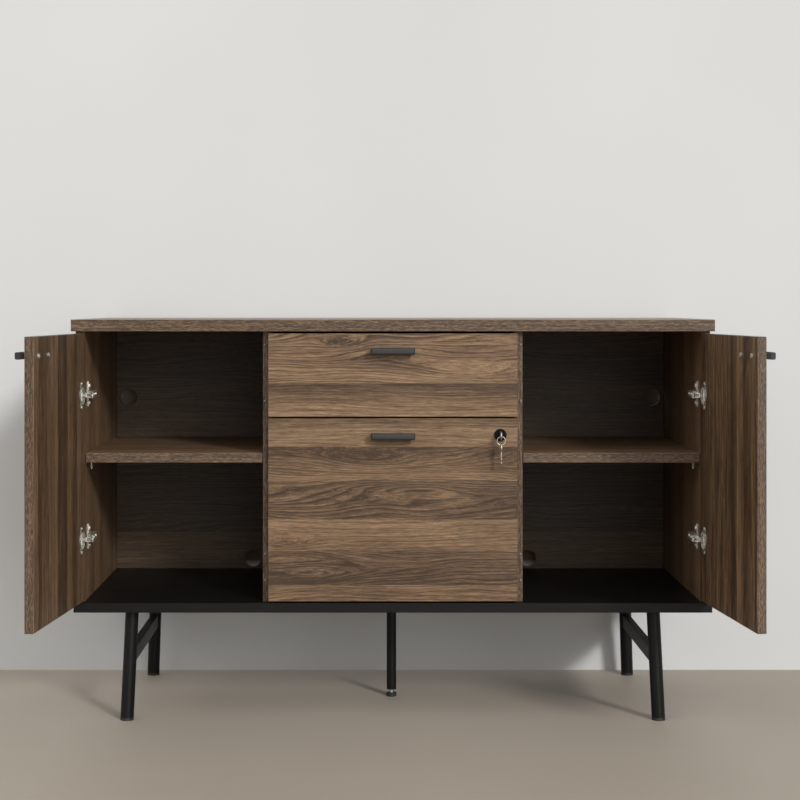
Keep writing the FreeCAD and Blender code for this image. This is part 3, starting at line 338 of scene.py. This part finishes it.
def coated_metal(name, low, high, roughness, worn, specular=0.5, pebble=900.0, depth=0.00004):
    """Powder or lacquer coat: fine orange peel, faint cloudiness and lighter edges."""
    g = Graph(name)
    place = g.texture.outputs["Object"]
    peel = g.noise(place, pebble, 2.0, 0.5)
    cloud = g.noise(place, 14.0, 3.0, 0.6)
    colour = g.ramp(g.add(g.mul(cloud, 0.7), g.mul(peel, 0.3)), [(0.35, low), (0.65, high)])
    colour = g.blend(g.mul(g.edge_wear(0.001), 0.5), colour, worn)
    rough = g.add(roughness, g.add(g.mul(cloud, 0.12), g.mul(peel, 0.08)))
    return g.surface(colour, rough, g.bump(peel, depth, 0.6), specular=specular)


def plated_metal(name, low, high, roughness, grain):
    """Bright plated steel with rolling marks along one direction and duller patches."""
    g = Graph(name)
    place = g.texture.outputs["Object"]
    axes = (X_AXIS, Y_AXIS, Z_AXIS)
    lines = g.noise(g.vector(*[g.mul(g.dot(place, axis), scale) for axis, scale in zip(axes, grain)]),
                    1.0, 3.0, 0.6)
    cloud = g.noise(place, 60.0, 3.0, 0.6)
    colour = g.ramp(g.add(g.mul(cloud, 0.6), g.mul(lines, 0.4)), [(0.35, low), (0.65, high)])
    rough = g.add(roughness, g.add(g.mul(lines, 0.14), g.mul(cloud, 0.16)))
    return g.surface(colour, rough, g.bump(lines, 0.00002, 0.5), metallic=1.0)


def pale_board(name):
    """Off-white drawer board with a faint linen print."""
    g = Graph(name)
    place = g.texture.outputs["Object"]
    x = g.dot(place, X_AXIS)
    y = g.dot(place, Y_AXIS)
    z = g.dot(place, Z_AXIS)
    fibre = g.noise(g.vector(g.mul(x, 40.0), g.mul(y, 40.0), g.mul(z, 900.0)), 1.0, 3.0, 0.6)
    cloud = g.noise(place, 12.0, 3.0, 0.6)
    colour = g.ramp(g.add(g.mul(fibre, 0.6), g.mul(cloud, 0.4)),
                    [(0.3, tone(196, 192, 184)), (0.7, tone(214, 210, 203))])
    colour = g.blend(g.mul(g.edge_wear(0.001), 0.3), colour, tone(226, 223, 217))
    return g.surface(colour, g.add(0.42, g.mul(fibre, 0.2)), g.bump(fibre, 0.00005, 0.5), specular=0.4)


def moulded(name, low, high, roughness, transmission=0.0):
    """Moulded plastic or rubber with a fine spark texture."""
    g = Graph(name)
    place = g.texture.outputs["Object"]
    spark = g.noise(place, 2200.0, 2.0, 0.6)
    cloud = g.noise(place, 50.0, 2.0, 0.5)
    colour = g.ramp(cloud, [(0.3, low), (0.7, high)])
    return g.surface(colour, g.add(roughness, g.mul(spark, 0.15)), g.bump(spark, 0.00003, 0.5),
                     specular=0.45, transmission=transmission)


def dress(material, *nodes):
    """Give CAD nodes a finish through their objects' own slots."""
    for node in nodes:
        thing = frame["nodes"][node]
        for slot in thing.material_slots:
            slot.link = "OBJECT"
            slot.material = material


def paired(*stems):
    """Names of the left and the right node of each stem."""
    return [stem + "_" + side for stem in stems for side in ("left", "right")]


# staves of the drawer fronts from the bottom up: lower edge, tones at both edges, seed, figure
FRONT_BANDS = [(0.2000, 0.45, 0.43, 0.05, 0.30), (0.2557, 0.22, 0.42, 0.22, 0.85),
               (0.3171, 0.44, 0.60, 0.41, 0.22), (0.3786, 0.30, 0.34, 0.63, 0.75),
               (0.4494, 0.58, 0.17, 0.12, 0.60), (0.5127, 0.60, 0.67, 0.85, 0.10),
               (0.5480, 0.52, 0.28, 0.87, 0.10), (0.5690, 0.72, 0.10, 0.93, 0.12),
               (0.6319, 0.63, 0.52, 0.33, 0.80)]
FRONT_EYES = [(-0.050, 0.497, 0.075, 0.0120, 0.020, 0.22), (-0.010, 0.478, 0.140, 0.0160, 0.022, 0.0),
              (-0.098, 0.709, 0.040, 0.0120, 0.022, 0.42), (0.150, 0.652, 0.090, 0.0180, 0.024, -0.10),
              (-0.140, 0.279, 0.210, 0.0170, 0.040, 0.0), (-0.150, 0.285, 0.060, 0.0130, 0.010, -0.14),
              (-0.200, 0.334, 0.040, 0.0110, 0.020, 0.14), (0.050, 0.432, 0.110, 0.0140, -0.018, 0.0)]

# the same for the doors, from the hinge outwards
DOOR_BANDS = {
    "left": [(0.240, 0.35, 0.50, 0.13, 0.2), (0.335, 0.20, 0.24, 0.47, 0.3), (0.366, 0.36, 0.50, 0.71, 0.2),
             (0.408, 0.12, 0.28, 0.29, 0.5), (0.474, 0.58, 0.46, 0.83, 0.2), (0.535, 0.42, 0.24, 0.37, 0.4),
             (0.602, 0.52, 0.54, 0.59, 0.2)],
    "right": [(0.240, 0.10, 0.24, 0.17, 0.2), (0.332, 0.36, 0.44, 0.43, 0.3), (0.410, 0.33, 0.44, 0.77, 0.5),
              (0.476, 0.08, 0.30, 0.31, 0.3), (0.512, 0.58, 0.46, 0.89, 0.2), (0.549, 0.14, 0.16, 0.57, 0.4),
              (0.580, 0.32, 0.48, 0.23, 0.2), (0.617, 0.26, 0.30, 0.67, 0.3)]}

dress(walnut("walnut_fronts", X_AXIS, Z_AXIS, Y_AXIS, bands=FRONT_BANDS, eyes=FRONT_EYES, seed=2.0),
      "top_drawer_front", "file_drawer_front")
dress(walnut("walnut_top", X_AXIS, Y_AXIS, Z_AXIS, shift=0.01, seed=5.0, rough=0.24), "top_panel")
dress(walnut("walnut_shelf", X_AXIS, Y_AXIS, Z_AXIS, shift=0.02, seed=8.0), *paired("shelf"))
dress(walnut("walnut_side", Z_AXIS, Y_AXIS, X_AXIS, shift=0.03, seed=14.0, figure=0.4),
      *paired("side_panel", "divider"))
# the back panel's face towards the bays is painted darker, as painted shade of the cabinet's inside
dress(walnut("walnut_back", X_AXIS, Z_AXIS, Y_AXIS, shift=0.018, seed=21.0, inside_shade=0.4), "back_panel")
for side, sign in (("left", -1.0), ("right", 1.0)):
    door_run = (sign * math.sin(DOOR_LEAN), -math.cos(DOOR_LEAN), 0.0)
    door_out = (math.cos(DOOR_LEAN), sign * math.sin(DOOR_LEAN), 0.0)
    dress(walnut("walnut_door_" + side, Z_AXIS, door_run, door_out, bands=DOOR_BANDS[side],
                 seed=30.0 + 9 * sign, cool=0.25 - 0.25 * sign, grain=1.8 + 0.4 * sign), "door_" + side)

dress(black_board("black_laminate_grain"), "base_panel")
dress(coated_metal("black_powder_coat", tone(10, 10, 10), tone(16, 16, 16), 0.3, tone(40, 40, 39),
                   specular=0.18),
      "leg_front_left", "leg_front_right", "leg_rear_left", "leg_rear_right", "leg_plates",
      "center_leg", *paired("stretcher"))
dress(coated_metal("charcoal_cast", tone(45, 45, 45), tone(55, 55, 54), 0.4, tone(76, 76, 75),
                   specular=0.3),
      "top_drawer_handle", "file_drawer_handle", *paired("door_handle"))
dress(plated_metal("nickel_pressed", tone(198, 195, 188), tone(234, 231, 225), 0.27, (40, 40, 900)),
      "hinge_plates", "hinge_arms", *paired("hinge_cups", "hinge_outer_links", "hinge_inner_links"))
dress(plated_metal("nickel_turned", tone(212, 210, 204), tone(236, 235, 230), 0.3, (500, 500, 500)),
      "hinge_arm_pins", "hinge_plate_screws", "shelf_pins", "top_drawer_screws", "file_drawer_screws",
      "lock_cam", *paired("door_screws"))
dress(plated_metal("zinc_rolled", tone(168, 172, 176), tone(196, 199, 202), 0.26, (30, 12, 900)),
      "slide_cabinet_members", "top_slide_drawer_members", "top_slide_middles",
      "file_slide_drawer_members", "file_slide_middles", "file_rails", "leg_screws", "glide_stem")
dress(plated_metal("key_nickel", tone(142, 138, 128), tone(206, 202, 192), 0.2, (300, 40, 300)),
      "key", "key_ring", "spare_key")
dress(coated_metal("black_lock_enamel", tone(6, 6, 7), tone(10, 10, 11), 0.26, tone(70, 68, 65),
                   specular=0.1),
      "lock_housing", "lock_plug")
dress(pale_board("pale_drawer_board"), "top_drawer_box", "file_drawer_box",
      "top_drawer_bottom", "file_drawer_bottom")
dress(moulded("black_moulded", tone(22, 22, 22), tone(29, 29, 29), 0.5), "glide_pad", "leg_foot_caps")


# ---- Small details the frame leaves to the eye -----------------------------------------------
def new_object(name, mesh, material):
    thing = bpy.data.objects.new(name, mesh)
    SCENE.collection.objects.link(thing)
    thing.data.materials.append(material)
    return thing


def lathe(bm, centre, direction, profile, steps=20):
    """Turned form about a line: profile is (distance along, radius)."""
    way = Vector(direction).normalized()
    side = way.orthogonal().normalized()
    other = way.cross(side)
    rings = []
    for along, radius in profile:
        ring = []
        for step in range(steps):
            a = 2 * math.pi * step / steps
            ring.append(bm.verts.new(Vector(centre) + way * along
                                     + (side * math.cos(a) + other * math.sin(a)) * radius))
        rings.append(ring)
    for one, two in zip(rings, rings[1:]):
        for step in range(steps):
            after = (step + 1) % steps
            bm.faces.new((one[step], one[after], two[after], two[step]))
    bm.faces.new(list(reversed(rings[0])))
    bm.faces.new(rings[-1])


# the domes stand on the dividers' front edges
BUMPER_X = 0.2392
BUMPER_Y = -0.217
BUMPER_HEIGHTS = (0.703, 0.597, 0.311, 0.262)


def bumpers():
    """Clear stick-on domes on the dividers' edges, which the doors close against."""
    clear = moulded("clear_bumper", tone(168, 166, 160), tone(186, 184, 178), 0.2, transmission=0.6)
    dome = [(0.0, 0.0026), (0.0008, 0.00255), (0.0014, 0.0021), (0.0018, 0.0013), (0.0019, 0.0004)]
    bm = bmesh.new()
    for x in (-BUMPER_X, BUMPER_X):
        for z in BUMPER_HEIGHTS:
            lathe(bm, (x, BUMPER_Y, z), (0, -1, 0), dome)
    mesh = bpy.data.meshes.new("door_bumpers")
    bm.to_mesh(mesh)
    bm.free()
    for face in mesh.polygons:
        face.use_smooth = True
    piece = new_object("door_bumpers", mesh, clear)
    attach(piece, "carcass")


bumpers()


# ---- Studio ----------------------------------------------------------------------------------
WALL_Y = 0.262
WALL_HEIGHT = 5.0
ROOM_HALF = 7.0
ROOM_DEPTH = 8.0
# painted shade on the strip of wall behind the cabinet: half its width, its middle height and half its
# height
PAINTED_SHADE_HALF_WIDTH = 0.57
PAINTED_SHADE_MIDDLE = 0.475
PAINTED_SHADE_HALF_HEIGHT = 0.24
PAINTED_SHADE_FADE = 0.02
FILL = 0.21


def flat_sheet(name, corners, material):
    mesh = bpy.data.meshes.new(name)
    mesh.from_pydata([Vector(corner) for corner in corners], [], [(0, 1, 2, 3)])
    new_object(name, mesh, material)


def floor_material():
    g = Graph("studio_floor")
    place = g.texture.outputs["Object"]
    cloud = g.noise(place, 1.3, 3.0, 0.5)
    speck = g.noise(place, 240.0, 2.0, 0.6)
    colour = g.ramp(g.add(g.mul(cloud, 0.6), g.mul(speck, 0.4)),
                    [(0.3, tone(166, 156, 144)), (0.7, tone(178, 168, 156))])
    return g.surface(colour, 0.55, g.bump(speck, 0.0002, 0.3), specular=0.3)


def wall_material():
    """Pale wall that only the eye meets, and only from the front, so that no light is kept off; the strip
    behind the cabinet carries painted shade.
    """
    g = Graph("studio_wall")
    path = g.tree.nodes.new("ShaderNodeLightPath")
    geometry = g.tree.nodes.new("ShaderNodeNewGeometry")
    seen = g.math("MAXIMUM", path.outputs["Is Camera Ray"], path.outputs["Is Glossy Ray"])
    seen = g.math("MAXIMUM", seen, path.outputs["Is Transmission Ray"])
    front = g.sub(1.0, geometry.outputs["Backfacing"])
    place = g.texture.outputs["Object"]
    cloud = g.noise(place, 1.1, 2.0, 0.5)
    pale = g.ramp(cloud, [(0.3, tone(205, 207, 208)), (0.7, tone(211, 213, 213))])
    # painted shade: the strip of wall behind the cabinet's back is painted dark where shade falls
    off_side = g.math("ABSOLUTE", g.dot(place, X_AXIS))
    off_height = g.math("ABSOLUTE", g.sub(g.dot(place, Z_AXIS), PAINTED_SHADE_MIDDLE))
    painted_shade = g.mul(g.span(off_side, PAINTED_SHADE_HALF_WIDTH + PAINTED_SHADE_FADE, PAINTED_SHADE_HALF_WIDTH),
                    g.span(off_height, PAINTED_SHADE_HALF_HEIGHT + PAINTED_SHADE_FADE, PAINTED_SHADE_HALF_HEIGHT))
    plaster = g.tree.nodes.new("ShaderNodeBsdfDiffuse")
    g.put(plaster.inputs[0], g.blend(painted_shade, pale, tone(84, 80, 74)))
    clear = g.tree.nodes.new("ShaderNodeBsdfTransparent")
    mix = g.tree.nodes.new("ShaderNodeMixShader")
    g.put(mix.inputs[0], g.mul(seen, front))
    g.tree.links.new(clear.outputs[0], mix.inputs[1])
    g.tree.links.new(plaster.outputs[0], mix.inputs[2])
    g.tree.links.new(mix.outputs[0], g.output.inputs[0])
    return g.material


flat_sheet("studio_floor", [(-ROOM_HALF, -ROOM_DEPTH, 0), (ROOM_HALF, -ROOM_DEPTH, 0),
                            (ROOM_HALF, ROOM_DEPTH, 0), (-ROOM_HALF, ROOM_DEPTH, 0)],
           floor_material())
flat_sheet("studio_wall", [(-ROOM_HALF, WALL_Y, 0), (ROOM_HALF, WALL_Y, 0),
                           (ROOM_HALF, WALL_Y, WALL_HEIGHT), (-ROOM_HALF, WALL_Y, WALL_HEIGHT)],
           wall_material())


def world():
    """Even fill, which the camera and reflections see as a pale backdrop."""
    sky = bpy.data.worlds.new("studio")
    sky.use_nodes = True
    tree = sky.node_tree
    tree.nodes.clear()
    out = tree.nodes.new("ShaderNodeOutputWorld")
    fill = tree.nodes.new("ShaderNodeBackground")
    fill.inputs[0].default_value = (1.0, 0.99, 0.97, 1)
    fill.inputs[1].default_value = FILL
    backdrop = tree.nodes.new("ShaderNodeBackground")
    backdrop.inputs[0].default_value = tone(222, 221, 217)
    backdrop.inputs[1].default_value = 1.0
    path = tree.nodes.new("ShaderNodeLightPath")
    seen = path.outputs["Is Camera Ray"]
    for kind in ("Is Transmission Ray", "Is Glossy Ray"):
        either = tree.nodes.new("ShaderNodeMath")
        either.operation = "MAXIMUM"
        tree.links.new(seen, either.inputs[0])
        tree.links.new(path.outputs[kind], either.inputs[1])
        seen = either.outputs[0]
    mix = tree.nodes.new("ShaderNodeMixShader")
    tree.links.new(seen, mix.inputs[0])
    tree.links.new(fill.outputs[0], mix.inputs[1])
    tree.links.new(backdrop.outputs[0], mix.inputs[2])
    tree.links.new(mix.outputs[0], out.inputs[0])
    SCENE.world = sky


def sun(name, towards, strength, angle):
    """Broad distant lamp; towards points from the object to it."""
    data = bpy.data.lights.new(name, "SUN")
    data.energy = strength
    data.angle = math.radians(angle)
    data.color = (1.0, 0.985, 0.96)
    lamp = bpy.data.objects.new(name, data)
    lamp.rotation_mode = "QUATERNION"
    lamp.rotation_quaternion = Vector(towards).to_track_quat("Z", "Y")
    SCENE.collection.objects.link(lamp)


world()
sun("key_lamp", (0.577, -1.0, 0.53), 1.72, 10.0)
sun("low_lamp", (0.35, -1.0, 0.14), 0.38, 30.0)
sun("broad_lamp", (0.28, -0.9, 0.73), 0.82, 65.0)
sun("side_lamp", (-0.9, -0.7, 0.8), 0.82, 62.0)
sun("rear_lamp", (-0.25, 1.0, 0.8), 0.8, 80.0)

# ---- Camera ----------------------------------------------------------------------------------
camera_data = bpy.data.cameras.new("camera")
camera_data.sensor_width = 36.0
camera_data.lens = 83.7
camera_data.shift_x = 0.0378
camera_data.shift_y = -0.1196
camera = bpy.data.objects.new("camera", camera_data)
camera.location = (-0.0431, -3.6989, 0.7784)
camera.rotation_euler = (math.pi / 2, 0.0, 0.0)
SCENE.collection.objects.link(camera)
SCENE.camera = camera

SCENE.view_settings.view_transform = "Standard"
